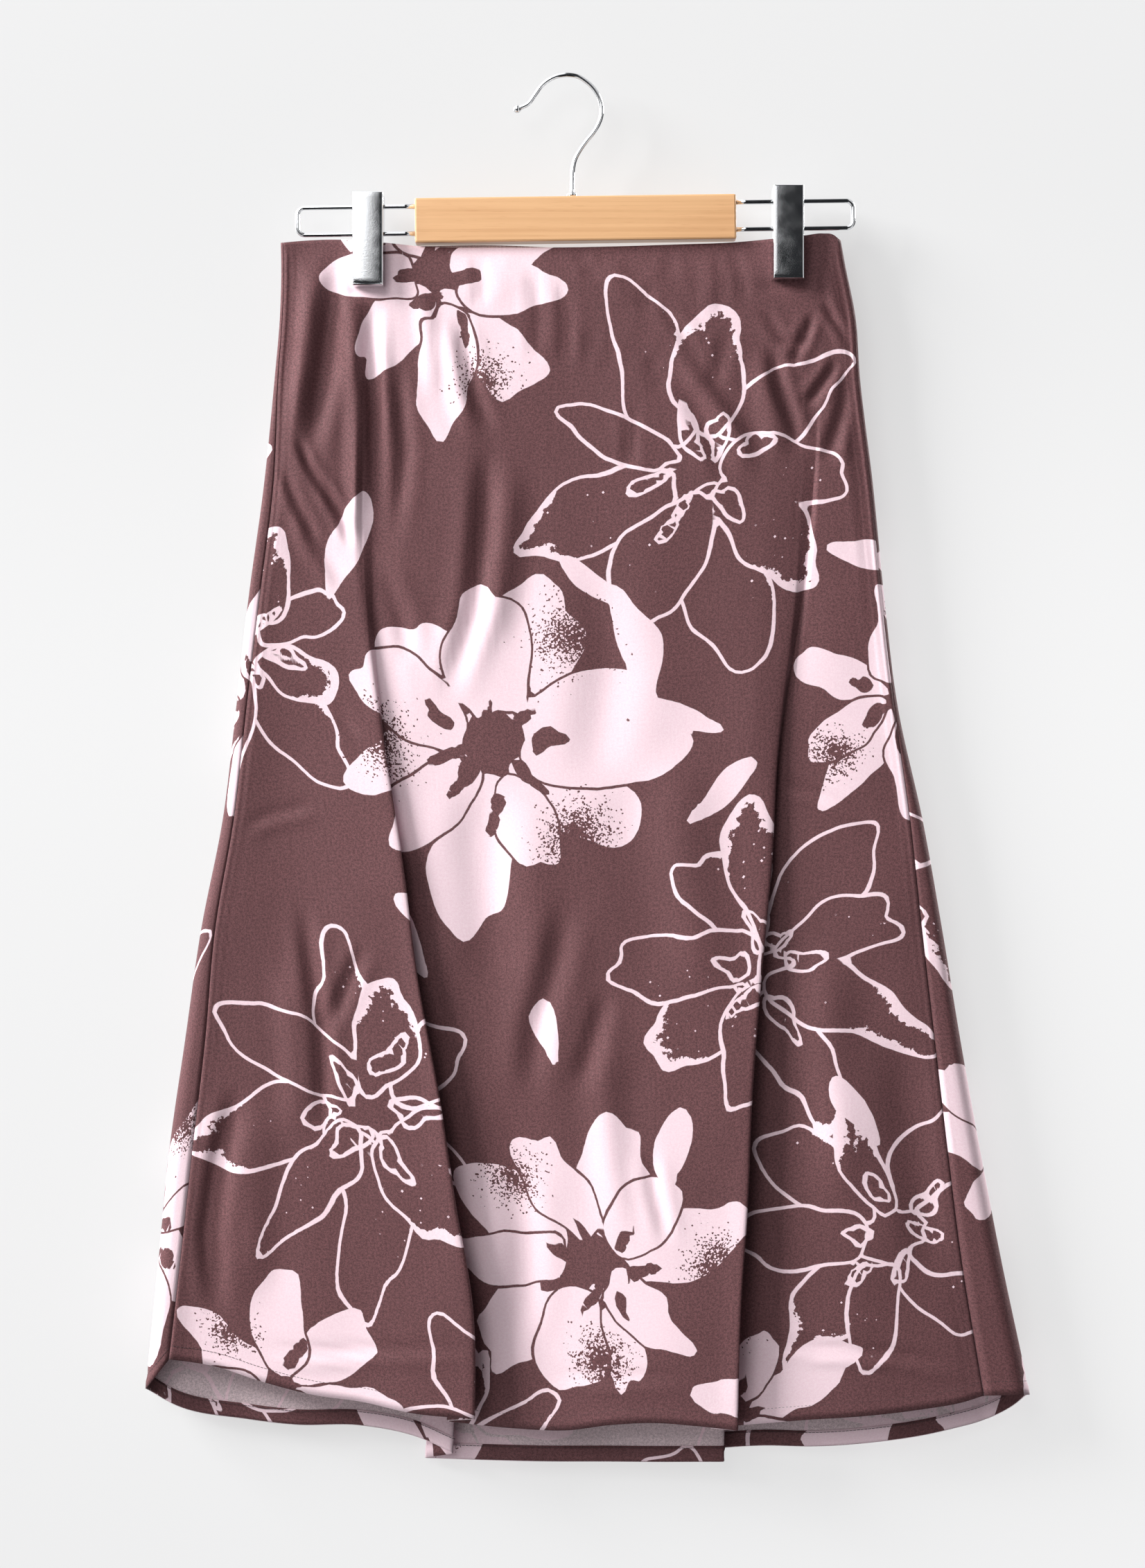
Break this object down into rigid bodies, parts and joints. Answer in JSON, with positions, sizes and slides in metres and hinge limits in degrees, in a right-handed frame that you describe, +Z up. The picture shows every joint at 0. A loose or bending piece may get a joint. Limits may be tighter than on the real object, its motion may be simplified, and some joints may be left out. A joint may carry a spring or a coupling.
{
  "type": "midi skirt on a clip hanger",
  "caption": "A-line midi skirt of two hemmed panels hanging in soft laps from the spring clips of a wood and wire hanger with a hook.",
  "frame": {"origin": "inner top of the hanger's hook, where a rail or peg holds it", "axes": "+Z up, +X to the right of someone facing the skirt's front, +Y from the front to the back"},
  "size_m": [0.566, 0.0405, 0.8908],
  "materials": {
    "cloth": "matte fine-woven viscose, brown with pale pink blossoms",
    "wood": "pale beech, satin lacquer",
    "chrome": "polished chrome plate"
  },
  "bodies": {
    "root": {"front_panel": "cloth", "back_panel": "cloth", "front_hem_left": "cloth", "front_hem_middle": "cloth", "front_hem_right": "cloth", "back_hem_left": "cloth", "back_hem_middle": "cloth", "back_hem_right": "cloth", "wood_bar": "wood", "hook": "chrome", "rail_left": "chrome", "rail_right": "chrome", "left_clip_tray": "chrome", "left_clip_plate": "chrome", "right_clip_tray": "chrome", "right_clip_plate": "chrome"}
  },
  "joints": []
}
